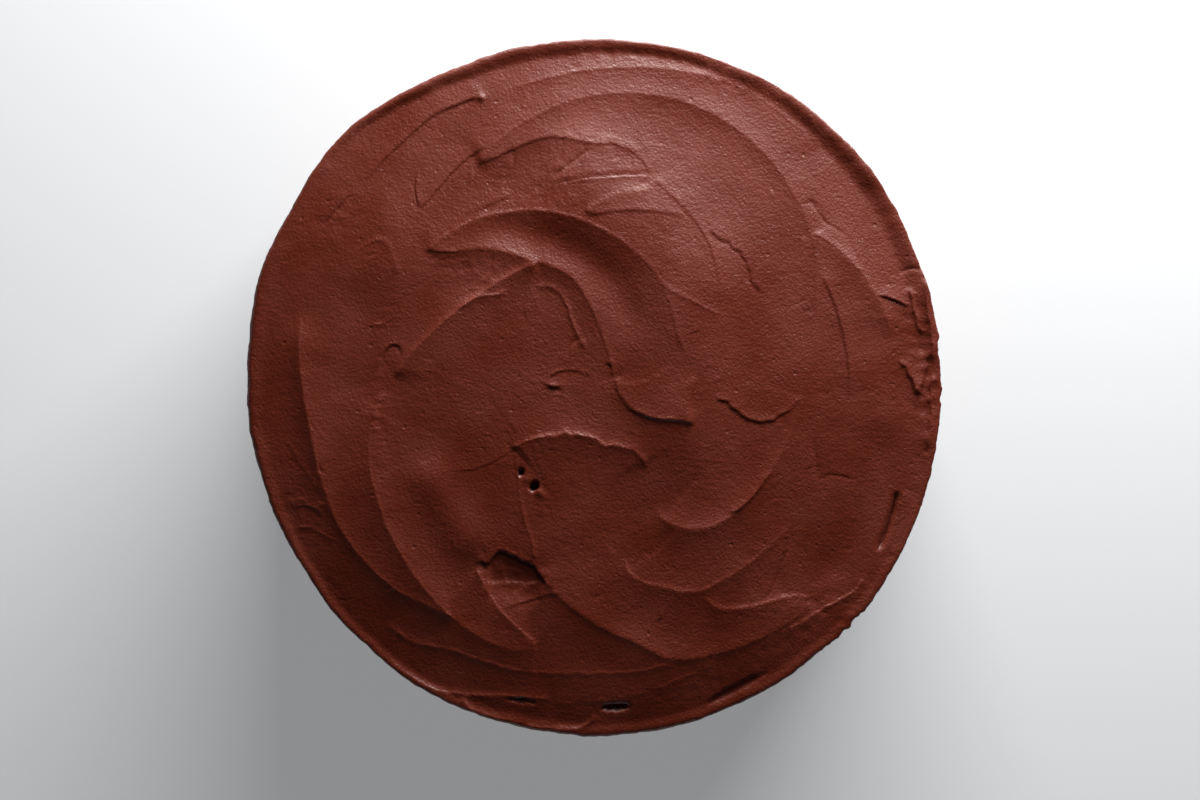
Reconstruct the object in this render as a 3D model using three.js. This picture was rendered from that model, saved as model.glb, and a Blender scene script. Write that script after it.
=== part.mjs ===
// A round birthday cake covered all over in chocolate frosting: one closed solid.
// Millimetres, +Z up, resting on z = 0, middle of the foot at the origin.
import * as THREE from "three";

// ---- driving sizes -------------------------------------------------------------------------
const CAKE_RADIUS = 107;
const TOP_HEIGHT = 85; // where the top is highest, before the sweeps
const DOME_DROP = 7.2; // how far the top falls away from there, over one radius
const DOME_POWER = 2.2;
const DOME_SOUTH = 12; // how far from the middle, towards -Y, the top is highest
const RIM_RISE = 1.1; // the lip left standing round the edge of the top
const RIM_WIDTH = 5; // how far that lip reaches in towards the middle
const RIM_ROUNDING = 3.5;
const FOOT_ROUNDING = 2;
const WALL_HOLLOW = 1.4; // how far the wall draws in between rim and foot
const WALL_WAVE = 0.5; // uneven passes of the scraper round the wall

const GRID_CELLS = 54; // cells across the top, so 27 rings of facets
const ROUNDING_STEPS = 2; // facets over the rim's rounding, and over the foot's
const WALL_STEPS = 3; // facets between the two roundings

// ---- where the outline stands out from a true circle: degrees round, degrees wide, mm out ------
const BULGES = [
  { at: 52, wide: 32, out: 2.0 },
  { at: 134, wide: 10, out: 1.5 },
  { at: 140, wide: 36, out: 2.2 },
  { at: 160, wide: 8, out: 0.9 },
  { at: 215, wide: 22, out: -1.3 },
  { at: 322, wide: 9, out: 0.8 },
];

// ---- the edges of the spatula's sweeps -----------------------------------------------------
// path: a few points the edge runs through; left and right: how high the frosting stands at the
// edge on each side of the direction of travel; spread: how far it takes to level out again.
const SWEEPS = {
  mainRing: {
    path: [[-36, 69], [-20, 84], [10, 91], [45, 79.5], [64, 55], [68, 20], [57, -19], [36, -42], [18, -36]],
    left: 1, right: 0.9, spread: 6,
  },
  crescentLip: {
    path: [[-36, 69], [-20, 75.8], [0, 75], [17, 66], [33, 48], [38, 27]],
    left: 0.95, right: 0.85, spread: 6,
  },
  swooshTop: {
    path: [[-51, 42.5], [-28, 54.3], [2, 49], [20, 33], [25, 15], [31, 4]],
    left: 0.8, right: 0.9, spread: 6,
  },
  swooshUnder: {
    path: [[-51, 42], [-28, 41.8], [-9, 35.5], [3, 14], [10, -5.3], [30, -10.8]],
    left: 0.95, right: 0.75, spread: 5,
  },
  leftCrescentOuter: {
    path: [[-17, -80], [-41, -72], [-61, -48], [-69, -20], [-62, 2], [-45, 21.8], [-17, 38.5]],
    left: 1.6, right: 1.4, spread: 8,
  },
  leftCrescentInner: {
    path: [[-17, -79], [-27, -70], [-36, -55]],
    left: 1, right: 0.2, spread: 5,
  },
  // where the frosting has torn away beside the left crescent
  tornPocket: {
    path: [[-36, -54], [-27, -50], [-15, -61]],
    left: 0.1, right: -1, spread: 6,
  },
  centreArch: {
    path: [[-25, -19], [-13, -14.3], [0, -15], [16, -24]],
    left: 0.6, right: 0.85, spread: 5,
  },
  southCrescentOuter: {
    path: [[66, -65], [43, -80], [18, -81], [-4, -69.5], [-19, -49], [-24.5, -19]],
    left: 0.9, right: 1.1, spread: 7,
  },
  southCrescentInner: {
    path: [[66, -65], [45, -67], [33, -62], [15, -59], [10, -54.5]],
    left: 1.2, right: 1, spread: 6,
  },
  midBand: {
    path: [[60, -42], [47, -54], [33, -61.5]],
    left: 0.4, right: 0.5, spread: 6,
  },
  outerBand: {
    path: [[-25, 92.5], [0, 98], [30, 97.5], [57, 85.5], [69, 75]],
    left: 0.7, right: 0.7, spread: 5,
  },
  eastRidge: {
    path: [[67, 48], [80, 38], [90, 23]],
    left: 0.9, right: 1, spread: 6,
  },
  westRing: {
    path: [[-44, -70], [-67, -56.5], [-82.5, -33], [-90.5, 5], [-91, 26]],
    left: 1.7, right: 1.3, spread: 7,
  },
  southBand: {
    path: [[25, -83.5], [-5, -87], [-38, -82], [-64, -74]],
    left: 0.4, right: 0.4, spread: 5,
  },
};
const PATH_STEP = 2; // distance between the points at which a sweep's edge is measured
const END_FADE = 6; // a sweep's edge comes up out of the flat over this length
const CREST_ROUNDING = 2; // the crest is rounded off over this distance on either side

function ease(t) {
  return THREE.MathUtils.smoothstep(t, 0, 1);
}

function bump(distance, width) {
  return Math.exp(-((distance / width) ** 2));
}

function outline(angle) {
  const degrees = THREE.MathUtils.euclideanModulo(THREE.MathUtils.radToDeg(angle), 360);
  return BULGES.reduce((radius, { at, wide, out }) => {
    const off = Math.abs(degrees - at);
    return radius + out * bump(Math.min(off, 360 - off), wide);
  }, CAKE_RADIUS);
}

// A square grid cell corner, u and v from -1 to 1, carried on to a disc so squares become rings.
function discPoint(u, v) {
  if (u === 0 && v === 0) {
    return { share: 0, angle: 0 };
  }
  const quarter = Math.PI / 4;
  if (Math.abs(u) > Math.abs(v)) {
    return { share: Math.abs(u), angle: (quarter * v) / u + (u < 0 ? Math.PI : 0) };
  }
  return { share: Math.abs(v), angle: (v > 0 ? 2 : 6) * quarter - (quarter * u) / v };
}

function measuredPath({ path }) {
  const curve = new THREE.SplineCurve(path.map(([x, y]) => new THREE.Vector2(x, y)));
  const length = curve.getLength();
  return { length, points: curve.getSpacedPoints(Math.round(length / PATH_STEP)) };
}

const MEASURED_SWEEPS = Object.values(SWEEPS).map((sweep) => ({ ...sweep, ...measuredPath(sweep) }));

// How far the spot lies off the edge, positive to the left of its travel, and how far along it.
function measuredFromPath(points, spot) {
  const found = { off: Infinity };
  for (let k = 1; k < points.length; k += 1) {
    const run = points[k].clone().sub(points[k - 1]);
    const reach = spot.clone().sub(points[k - 1]);
    const share = THREE.MathUtils.clamp(reach.dot(run) / run.lengthSq(), 0, 1);
    const off = reach.distanceTo(run.clone().multiplyScalar(share));
    if (off < Math.abs(found.off)) {
      found.off = run.cross(reach) < 0 ? -off : off;
      found.along = (k - 1 + share) * run.length();
    }
  }
  return found;
}

function sweepHeight(sweep, spot) {
  const { off, along } = measuredFromPath(sweep.points, spot);
  const fade = END_FADE + Math.abs(off);
  const ends = ease(along / fade) * ease((sweep.length - along) / fade);
  const crest = THREE.MathUtils.lerp(sweep.right, sweep.left, ease(0.5 + off / (2 * CREST_ROUNDING)));
  const fall = CREST_ROUNDING - Math.hypot(off, CREST_ROUNDING);
  return crest * Math.exp(fall / sweep.spread) * ends;
}

// The top is a low dome: its height at the spot before the rim's lip and the sweeps.
function domeHeight(spot) {
  const away = Math.hypot(spot.x, spot.y + DOME_SOUTH) / CAKE_RADIUS;
  return TOP_HEIGHT - DOME_DROP * away ** DOME_POWER;
}

function topHeight(spot, inwards) {
  const lip = RIM_RISE * bump(inwards - RIM_ROUNDING, RIM_WIDTH);
  const sweeps = MEASURED_SWEEPS.reduce((sum, sweep) => sum + sweepHeight(sweep, spot), 0);
  return domeHeight(spot) + lip + ease(inwards / RIM_ROUNDING) * sweeps;
}

function topVertex(u, v) {
  const { share, angle } = discPoint(u, v);
  const edge = outline(angle) - RIM_ROUNDING;
  const spot = new THREE.Vector2(...polar(angle, share * edge));
  return [spot.x, spot.y, topHeight(spot, (1 - share) * edge + RIM_ROUNDING)];
}

// How far in from the outline the wall stands, at a height from 0 (foot) to 1 (rim).
function wallInset(share, angle) {
  const wave = WALL_WAVE * Math.sin(3 * angle + 9 * share) * Math.sin(Math.PI * share);
  return WALL_HOLLOW * Math.sin(Math.PI * share) + wave;
}

// The wall from the rim down to the foot, as rows of { inset, z }: rounding, wall, rounding.
function wallRows(angle) {
  const rows = [];
  const rim = new THREE.Vector2(...polar(angle, outline(angle) - RIM_ROUNDING));
  const shoulder = domeHeight(rim) + RIM_RISE - RIM_ROUNDING;
  for (let k = 1; k < ROUNDING_STEPS; k += 1) {
    const turn = (Math.PI / 2) * (k / ROUNDING_STEPS);
    rows.push({ inset: RIM_ROUNDING * (1 - Math.sin(turn)), z: shoulder + RIM_ROUNDING * Math.cos(turn) });
  }
  for (let k = WALL_STEPS; k >= 0; k -= 1) {
    const share = k / WALL_STEPS;
    rows.push({ inset: wallInset(share, angle), z: FOOT_ROUNDING + share * (shoulder - FOOT_ROUNDING) });
  }
  for (let k = 1; k <= ROUNDING_STEPS; k += 1) {
    const turn = (Math.PI / 2) * (k / ROUNDING_STEPS);
    rows.push({ inset: FOOT_ROUNDING * (1 - Math.cos(turn)), z: FOOT_ROUNDING * (1 - Math.sin(turn)) });
  }
  return rows;
}

function polar(angle, radius) {
  return [Math.cos(angle) * radius, Math.sin(angle) * radius];
}

// The grid corners round the edge of the square, counter-clockwise.
function borderCorners() {
  const last = GRID_CELLS;
  const steps = Array.from({ length: last }, (_, k) => k);
  return [
    ...steps.map((k) => [last, k]),
    ...steps.map((k) => [last - k, last]),
    ...steps.map((k) => [0, last - k]),
    ...steps.map((k) => [k, 0]),
  ];
}

function cakeGeometry() {
  const positions = [];
  const faces = [];
  const unit = (k) => (2 * k) / GRID_CELLS - 1;
  const corner = (i, j) => j * (GRID_CELLS + 1) + i;

  for (let j = 0; j <= GRID_CELLS; j += 1) {
    for (let i = 0; i <= GRID_CELLS; i += 1) {
      positions.push(...topVertex(unit(i), unit(j)));
    }
  }
  for (let j = 0; j < GRID_CELLS; j += 1) {
    for (let i = 0; i < GRID_CELLS; i += 1) {
      const [a, b, c, d] = [corner(i, j), corner(i + 1, j), corner(i + 1, j + 1), corner(i, j + 1)];
      const slanted = i < GRID_CELLS / 2 === j < GRID_CELLS / 2;
      faces.push(...(slanted ? [a, b, c, a, c, d] : [a, b, d, b, c, d]));
    }
  }

  let upper = borderCorners().map(([i, j]) => corner(i, j));
  const angles = borderCorners().map(([i, j]) => discPoint(unit(i), unit(j)).angle);
  const columns = angles.map(wallRows);
  for (let row = 0; row < columns[0].length; row += 1) {
    const first = positions.length / 3;
    angles.forEach((angle, k) => {
      const { inset, z } = columns[k][row];
      positions.push(...polar(angle, outline(angle) - inset), z);
    });
    const lower = angles.map((_, k) => first + k);
    upper.forEach((top, k) => {
      const next = (k + 1) % upper.length;
      faces.push(top, lower[k], lower[next], top, lower[next], upper[next]);
    });
    upper = lower;
  }

  const middle = positions.length / 3;
  positions.push(0, 0, 0);
  upper.forEach((foot, k) => faces.push(foot, middle, upper[(k + 1) % upper.length]));

  const geometry = new THREE.BufferGeometry();
  geometry.setAttribute("position", new THREE.Float32BufferAttribute(positions, 3));
  geometry.setIndex(faces);
  return geometry;
}

function centred(geometry) {
  geometry.computeBoundingBox();
  const middle = geometry.boundingBox.getCenter(new THREE.Vector3());
  geometry.translate(-middle.x, -middle.y, 0);
  geometry.computeVertexNormals();
  return geometry;
}

const frosting = new THREE.MeshStandardMaterial({ color: 0x5a2a20, roughness: 0.5 });
const cake = new THREE.Mesh(centred(cakeGeometry()), frosting);
cake.name = "frosted_cake";

const group = new THREE.Group();
group.add(cake);
export default group;
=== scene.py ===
"""A chocolate birthday cake: frosting spread over the top in spatula strokes, and a scraped wall.

Lengths in the tables are millimetres, with the origin at the middle of the cake, +X to the right
and +Y away from the viewer when the top is seen from above. Blender's own lengths are metres.
"""

import math

import bpy
import numpy as np
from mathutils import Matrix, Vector


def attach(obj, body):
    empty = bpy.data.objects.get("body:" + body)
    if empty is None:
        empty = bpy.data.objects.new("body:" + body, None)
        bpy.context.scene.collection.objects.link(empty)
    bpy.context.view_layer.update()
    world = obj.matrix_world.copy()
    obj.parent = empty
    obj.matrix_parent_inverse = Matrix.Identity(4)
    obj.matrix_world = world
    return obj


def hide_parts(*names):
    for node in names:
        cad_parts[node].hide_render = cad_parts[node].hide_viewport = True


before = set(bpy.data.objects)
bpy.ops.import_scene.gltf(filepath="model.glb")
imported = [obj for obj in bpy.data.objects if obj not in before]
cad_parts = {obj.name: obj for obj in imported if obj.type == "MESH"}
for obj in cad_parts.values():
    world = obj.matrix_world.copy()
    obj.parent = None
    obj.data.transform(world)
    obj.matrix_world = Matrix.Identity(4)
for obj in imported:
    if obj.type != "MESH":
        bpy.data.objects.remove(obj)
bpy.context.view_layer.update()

MM = 0.001

# ==== sizes =================================================================================
RADIUS = 107.0
TOP = 85.0  # where the top is highest, before its relief
DOME = 7.2  # how far the top falls away from there, over one radius
DOME_POWER = 2.2  # how late that fall sets in; 2 would be a parabola
DOME_SOUTH = 12.0  # how far south of the middle the top is highest
SKIRT_DEPTH = 8.0  # how far the top's frosting laps down over the wall
SKIRT_FOOT = 66.0  # the lowest that the skirt's edge comes

WALL_TOP = 73.0
WALL_INSET = 0.6  # how far the wall stands in from the rim
WALL_HOLLOW = 1.2  # how much further it draws in halfway up
SKIRT_TUCK = 0.35  # and how much further behind the skirt
TUCK_FADE = 3.0
SCRAPED_TOP = 63.0  # the scraper's marks fade out from here up
SCRAPED_FADE = 6.0
FOOT_SPREAD = 0.7  # how far the foot spreads out
FOOT_REACH = 3.0
FOOT_ROUNDING = 2.0

# ==== grids =================================================================================
TOP_CELLS = 292  # squares across the top
ROUNDING_ROWS = 5
SKIRT_ROWS = 4
WALL_COLUMNS = 1040
WALL_ROWS = 88
FOOT_ROWS = 3
CROWD_REACH = 1.9  # the grid is drawn in towards an edge from this far off
CROWD_POWER = 1.7

# ==== edges =================================================================================
CLIFF = 0.4  # how wide the drop is where an edge's two sides differ in height
FLAP_WIDE = 0.32  # half width of an edge's fine ridge, and of the fine groove beside it
EDGE_REACH = 3.2  # an edge is worked out this many times its own width away
END_FLARE = 0.8  # an edge's ends fade over a longer stretch the further off it is measured

# ==== outline and rim =======================================================================
# where the outline stands out from a circle: degrees round, degrees wide, millimetres out
BULGES = [
    (52, 32, 2.0),
    (134, 10, 1.5),
    (140, 36, 2.2),
    (160, 8, 0.9),
    (215, 22, -1.3),
    (322, 9, 0.8),
]
# where the rim is torn: degrees round, degrees wide, strength
TORN = [
    (2, 9, 1.0),
    (317, 6, 1.5),
]
RIM_UNEVEN = 0.26
TORN_UNEVEN = 0.9
OUTLINE_WAVE = 0.35

# the rim's lip by degrees round: rise above the top, width of its inner wall, width of its crest
RIM = [
    (0, 0.9, 4, 0.7),
    (20, 1.4, 6, 0.5),
    (40, 1.9, 6.5, 0.5),
    (60, 1.8, 5.5, 0.4),
    (80, 1.3, 3.6, 0.4),
    (95, 1.4, 4.6, 0.6),
    (110, 1.3, 4.2, 1.0),
    (125, 0.9, 2.6, 1.1),
    (140, 0.5, 2.6, 1.4),
    (160, 0.3, 4, 2),
    (180, 0.3, 4, 2),
    (200, 0.4, 3, 1.2),
    (220, 0.6, 2.5, 0.8),
    (240, 0.6, 2.5, 0.8),
    (260, 0.5, 3, 1.2),
    (280, 0.5, 3, 1.2),
    (300, 0.6, 3, 1.2),
    (320, 0.5, 3, 1),
    (340, 0.5, 3, 0.8),
    (360, 0.9, 4, 0.7),
]
RIM_DEGREES, RIM_RISE, RIM_WALL, RIM_CREST = zip(*RIM)

# the whole top's unevenness: height, width of its lumps, seed
TOP_WAVES = [
    (0.35, 45, 5),
    (0.14, 14, 9),
    (0.035, 4.0, 25),
]

# ==== looks, lights and camera ==============================================================
DARK_BROWN = (0.089, 0.0109, 0.0034)
LIGHT_BROWN = (0.113, 0.0144, 0.0045)
SMOOTHEST = 0.34  # roughness of the shiniest patches
ROUGHEST = 0.48
GRAZING_ROUGHNESS = 0.55  # added where the surface is seen almost edge on, so that it doesn't glare
FAT_IOR = 1.46
SPECULAR = 0.46
BUMP_DEPTH = 0.00019  # metres

FLOOR_HALF = 3.0  # metres
FLOOR_COLOUR = (0.44, 0.45, 0.46)
FLOOR_GLOW = 0.26
FLOOR_GLOW_COLOUR = (0.96, 0.98, 1.0)
ROOM_COLOUR = (0.93, 0.95, 1.0)
ROOM_GLOW = 0.03
# name, place, what it is aimed at and its size in metres, then watts and colour
LIGHTS = [
    ("window", (0.18, 0.60, 0.245), (0, 0, 0.085), (0.61, 0.235), 15.6, (1.0, 0.99, 0.98)),
    ("upper pane", (0.13, 0.40, 0.46), (0, 0, 0.085), (0.44, 0.18), 0.95, (1.0, 0.99, 0.98)),
    ("fill", (-0.25, -1.1, 0.02), (0, 0, 0.04), (1.4, 0.12), 3.2, (0.95, 0.97, 1.0)),
]

CAMERA_HEIGHT = 870.0  # above the top
CAMERA_X = 1.7
CAMERA_Y = -3.5
PICTURE_WIDTH = 367.5  # what the camera sees across at the height of the top


# ==== noise =================================================================================
def lattice(seed, size=256):
    """Random values from -1 to 1 at the corners of a square grid."""
    return np.random.default_rng(seed).uniform(-1.0, 1.0, (size, size))


def noise(x, y, scale, seed):
    """Smooth noise from -1 to 1 whose lumps are about scale wide."""
    grid = lattice(seed)
    size = len(grid)
    u, v = x / scale, y / scale
    i, j = np.floor(u).astype(int), np.floor(v).astype(int)
    fu, fv = ease(u - i), ease(v - j)
    near = grid[i % size, j % size] * (1 - fu) + grid[(i + 1) % size, j % size] * fu
    far = grid[i % size, (j + 1) % size] * (1 - fu) + grid[(i + 1) % size, (j + 1) % size] * fu
    return near * (1 - fv) + far * fv


def fractal(x, y, scale, seed, octaves=2):
    """Noise from -1 to 1 with finer noise laid over it."""
    total = sum(noise(x, y, scale / 2**k, seed + k) / 2**k for k in range(octaves))
    return total / sum(1 / 2**k for k in range(octaves))


def ease(t):
    """A smooth step from 0 to 1."""
    t = np.clip(t, 0, 1)
    return t * t * (3 - 2 * t)


def name_seed(name):
    """A seed that is always the same for the same name."""
    return sum(ord(letter) * (place + 7) for place, letter in enumerate(name))


# ==== curves ================================================================================
def spline(points, step):
    """A centripetal Catmull-Rom curve through the points, as a polyline of about that step."""
    p = np.array(points, float)
    p = np.vstack([2 * p[0] - p[1], p, 2 * p[-1] - p[-2]])
    made = []
    for a, b, c, d in zip(p, p[1:], p[2:], p[3:]):
        tb = np.linalg.norm(b - a) ** 0.5
        tc = tb + np.linalg.norm(c - b) ** 0.5
        td = tc + np.linalg.norm(d - c) ** 0.5
        count = max(1, round(np.linalg.norm(c - b) / step))
        t = tb + (tc - tb) * np.arange(count)[:, None] / count
        ab = (tb - t) / tb * a + t / tb * b
        bc = (tc - t) / (tc - tb) * b + (t - tb) / (tc - tb) * c
        cd = (td - t) / (td - tc) * c + (t - tc) / (td - tc) * d
        abc = (tc - t) / tc * ab + t / tc * bc
        bcd = (td - t) / (td - tb) * bc + (t - tb) / (td - tb) * cd
        made.append((tc - t) / (tc - tb) * abc + (t - tb) / (tc - tb) * bcd)
    return np.vstack([*made, p[-2][None]])


def wander(line, size, wave, seed):
    """The line moved sideways by smooth noise, as a dragged or torn edge runs."""
    along = np.concatenate([[0], np.cumsum(np.linalg.norm(np.diff(line, axis=0), axis=1))])
    tangent = np.gradient(line, axis=0)
    tangent /= np.linalg.norm(tangent, axis=1)[:, None] + 1e-9
    shift = fractal(along, along * 0, wave, seed) * size
    return line + np.stack([-tangent[:, 1], tangent[:, 0]], 1) * shift[:, None]


def measured(line, x, y, reach):
    """The points within reach of the line: index, distance (left positive), distance along, length."""
    low, high = line.min(0) - reach, line.max(0) + reach
    inside = np.flatnonzero((x > low[0]) & (x < high[0]) & (y > low[1]) & (y < high[1]))
    px, py = x[inside], y[inside]
    best = np.full(len(inside), reach * reach)
    side = np.zeros(len(inside))
    along = np.zeros(len(inside))
    travelled = 0.0
    for a, b in zip(line, line[1:]):
        run = b - a
        length = math.hypot(*run)
        box_low, box_high = np.minimum(a, b) - reach, np.maximum(a, b) + reach
        near = np.flatnonzero(
            (px > box_low[0]) & (px < box_high[0]) & (py > box_low[1]) & (py < box_high[1])
        )
        qx, qy = px[near] - a[0], py[near] - a[1]
        share = np.clip((qx * run[0] + qy * run[1]) / length**2, 0, 1)
        off = (qx - share * run[0]) ** 2 + (qy - share * run[1]) ** 2
        won = off < best[near]
        kept = near[won]
        best[kept] = off[won]
        side[kept] = (run[0] * qy - run[1] * qx)[won]
        along[kept] = travelled + share[won] * length
        travelled += length
    found = best < reach * reach
    distance = np.copysign(np.sqrt(best[found]), side[found])
    return inside[found], distance, along[found], travelled


# ==== the edges that the spatula left =======================================================
EDGES = []
SOFT_BANDS = []


def edge(name, points, left=0.0, right=0.0, wide=(3, 3), lip=0.0, lip_wide=0.55, flap=0.08,
         fades=(3, 3), ragged=0.12, wave=3.0):
    """One edge: heights at its left and right sides and on its lip, each along its length if a list.

    wide: how far each side takes to level out. fades: the lengths over which its ends come up.
    flap: a fine ridge on its left with a fine groove on its right, as where frosting laps over.
    """
    EDGES.append(dict(name=name, points=points, left=left, right=right, wide=wide, lip=lip,
                      lip_wide=lip_wide, flap=flap, fades=fades, ragged=ragged, wave=wave))


def soft(name, points, depth, wide, fades=(12, 12)):
    """A shallow trough without edges; a negative depth is a swell."""
    SOFT_BANDS.append(dict(name=name, points=points, depth=depth, wide=wide, fades=fades))


# The long rings and crescents. Nearly all run clockwise, so that left is the side of the rim.
edge(
    "main ring",
    [(-36, 69.5), (-29, 77.3), (-19, 84), (-6, 89.2), (10, 91.3), (27, 88.8), (42, 81.5),
     (54, 70.5), (63, 57), (67.8, 43), (68.6, 28), (67.3, 13), (63.5, -4), (57, -20), (47, -34),
     (38, -41), (29, -42.7), (21.5, -40), (18, -35.5)],
    left=(0.5, 0.9, 1.05, 1.05, 0.75, 0.55, 0.75, 1.6, 1.0),
    right=(0.5, 0.85, 0.98, 0.98, 0.72, 0.6, 0.74, 1.52, 0.95), wide=(8.5, 6.5), fades=(2, 9),
    flap=(-0.07, -0.07, -0.05, -0.02, 0.02, 0.05, 0.05),
)
edge(
    "crescent lip",
    [(-36.3, 68.8), (-29, 71.6), (-22, 75), (-14, 77.3), (-7, 76.6), (0, 75.2), (6, 75), (11, 73.2),
     (15, 69.5), (17.3, 66)],
    left=(0.35, 0.88, 1.12, 0.8, 0.48, 0.3), right=(0.25, 0.75, 1.02, 0.72, 0.42, 0.25),
    wide=(8, 6), fades=(1, 2), flap=0.05,
)
edge(
    "crescent lip east",
    [(18, 64.3), (22.5, 60.2), (26.5, 56.3), (31.5, 50.5), (35.5, 43), (38, 34), (38.4, 25)],
    left=(0.22, 0.25, 0.25, 0.22, 0.15), right=(0.17, 0.2, 0.15), wide=(8, 5), fades=(1, 6),
    ragged=0.2, flap=0.05,
)
edge(
    "swoosh top",
    [(-51.6, 42.4), (-46, 47.3), (-37, 52), (-27, 54.5), (-17, 55), (-7, 53), (4, 48.3), (13, 41.8),
     (19.5, 34), (23.3, 25), (25.2, 16), (28.5, 9)],
    left=(0.45, 0.72, 0.82, 0.65, 0.45, 0.2), right=(0.5, 0.8, 0.88, 0.68, 0.45, 0.2), wide=(5, 6),
    fades=(1, 8), ragged=0.16, flap=(-0.12, -0.12, -0.1, 0.02, 0.1),
)
edge(
    "swoosh under",
    [(-51.6, 42.1), (-44, 41.9), (-35, 42.8), (-28, 41.8), (-20, 39.3), (-12, 37), (-6.5, 33.3),
     (-2, 26.5), (1.3, 18.5), (4, 10.5), (6, 3)],
    left=(0.3, 0.95, 1.25, 1.15, 0.85, 0.45, 0.28), right=(0.27, 0.9, 1.22, 1.13, 0.83, 0.41, 0.22),
    wide=(6.5, 4.5), fades=(6, 2), ragged=0.16, flap=0.06,
)
edge(
    "swoosh end",
    [(6, 3.5), (7, -0.8), (9.6, -4.8), (13.5, -7.7), (19, -9.3), (25, -9.8), (30.4, -10.7)],
    left=(0.3, 0.5, 0.8, 0.85, 0.5), right=(0.22, 0.38, 0.45, 0.42, 0.3), wide=(9, 4),
    lip=(0.03, 0.06, 0.08, 0.06), fades=(1, 1), ragged=0.35,
)
edge(
    "swoosh end side",
    [(31, 4.5), (30.2, 0), (29.4, -5), (30.3, -11)],
    right=0.45, wide=(3, 4), fades=(3, 1), ragged=0.25,
)
edge(
    "left crescent outer",
    [(-17.3, -80), (-24, -80.3), (-33, -77.2), (-42, -71.5), (-50, -63.7), (-58, -53), (-65, -38.5),
     (-69, -22), (-68.3, -10), (-64, -0.5)],
    left=(0.5, 1.0, 1.45, 1.7, 1.7, 1.5, 0.85, 0.35),
    right=(0.5, 1.0, 1.42, 1.67, 1.67, 1.45, 0.82, 0.32), wide=(9, 8), fades=(1, 8), ragged=0.16,
    flap=0.02,
)
edge(
    "left crescent top",
    [(-61.5, 3.2), (-56, 11), (-49, 18.3), (-41, 25), (-34, 29.8), (-28, 33.8), (-22, 36.8),
     (-17, 38.7)],
    left=(0.3, 0.6, 0.7, 0.6, 0.5), right=(0.5, 0.95, 1.05, 0.95, 0.75), wide=(3.5, 7), lip=0.12,
    fades=(3, 2), ragged=0.2, flap=0.1,
)
edge(
    "left crescent fork",
    [(-42, 24.2), (-36.5, 28), (-32, 28.6), (-26, 29.7)],
    right=0.25, wide=(3, 3), lip=0.2, lip_wide=0.5, fades=(3, 2), ragged=0.35, wave=2,
)
edge(
    "left crescent inner",
    [(-17, -79), (-22, -74.5), (-28.5, -68.3), (-33.5, -60.5), (-36.3, -54.5)],
    left=(0.3, 0.5, 0.6, 0.5), right=(0.26, 0.43, 0.5, 0.4), wide=(6, 2.5), fades=(1, 2),
    ragged=0.16, lip=0.02, flap=0.05,
)
edge(
    "centre arch",
    [(-24.8, -18.8), (-22, -16.6), (-18, -15), (-12, -14.2), (-6, -13.8), (-1, -14.6), (3, -17.2),
     (8, -18.1), (12.5, -19.5), (16.3, -24.2)],
    left=(0.5, 0.65, 0.65, 0.4), right=(0.6, 0.95, 0.95, 0.7, 0.4), wide=(5, 6.5),
    lip=(0.06, 0.18, 0.2, 0.14), lip_wide=0.5, fades=(1, 2), ragged=0.75, wave=1.7,
)
edge(
    "centre west side",
    [(-24.8, -19), (-24, -23.5), (-23.3, -30), (-22.4, -37), (-20, -45), (-18, -53)],
    left=0.12, right=(0.1, 0.2, 0.25), wide=(3, 4), lip=(0.1, 0.05, 0.12, 0.2), lip_wide=0.5,
    fades=(1, 2), ragged=0.4, wave=2,
)
edge(
    "south crescent outer",
    [(66.3, -65), (63.5, -69), (56, -74.3), (46, -79), (36, -82), (26, -83.3), (19, -81.6),
     (13, -78.2), (5, -75), (-3, -70.2), (-10, -64.8), (-17.3, -55.3)],
    left=(0.3, 0.75, 1.05, 1.05, 0.75, 0.3), right=(0.4, 0.95, 1.25, 1.25, 1.0, 0.5), wide=(8, 8),
    lip=0.04, fades=(2, 2), ragged=0.18,
)
edge(
    "south crescent inner",
    [(66.2, -64.8), (64, -63.3), (57, -64.2), (48, -66.6), (40, -67.2), (35.7, -65.6),
     (33.3, -62.6)],
    left=(0.3, 0.58, 0.65, 0.5), right=(0.2, 0.42, 0.48, 0.4), wide=(7, 6), lip=0.04, fades=(1, 6),
    ragged=0.15,
)
edge(
    "mid band lower",
    [(61.5, -40.5), (56, -45.8), (50, -51.2), (43, -56.3), (37, -59.7), (32.5, -61.7), (27, -61.8),
     (20, -60.3), (14, -58.7), (10.5, -55.5), (9.3, -51)],
    left=(0.2, 0.5, 0.8, 0.9, 0.85, 0.6, 0.2), right=(0.2, 0.52, 0.82, 0.84, 0.75, 0.5, 0.1),
    wide=(6, 8), fades=(6, 5), ragged=0.16,
)
edge(
    "outer band north",
    [(-27, 92), (-16, 95.2), (-5, 97.6), (8, 99), (22, 98.6), (36, 96.2), (48, 91.5), (58, 84.7),
     (66, 78), (70, 74.3)],
    left=(0.3, 0.6, 0.75, 0.7, 0.5, 0.35), right=(0.3, 0.65, 0.8, 0.75, 0.6, 0.4), wide=(5, 5),
    fades=(8, 3),
)
edge(
    "north-east ridge",
    [(67.3, 47.8), (73, 44.4), (79, 39.3), (85, 31.5), (89, 24), (92, 14)],
    left=(0.5, 1.0, 1.0, 0.5), right=(0.5, 1.15, 1.15, 0.5), wide=(4.5, 8), fades=(1, 8),
    ragged=0.2,
)
edge(
    "north-east step",
    [(69, 36), (72, 30), (75, 22.5), (77.2, 13), (78.2, 4), (77.6, -6)],
    left=(0.2, 0.6, 0.6, 0.2), right=(0.1, 0.45, 0.45, 0.1), wide=(7, 6), fades=(3, 10), ragged=0.2,
)
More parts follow.
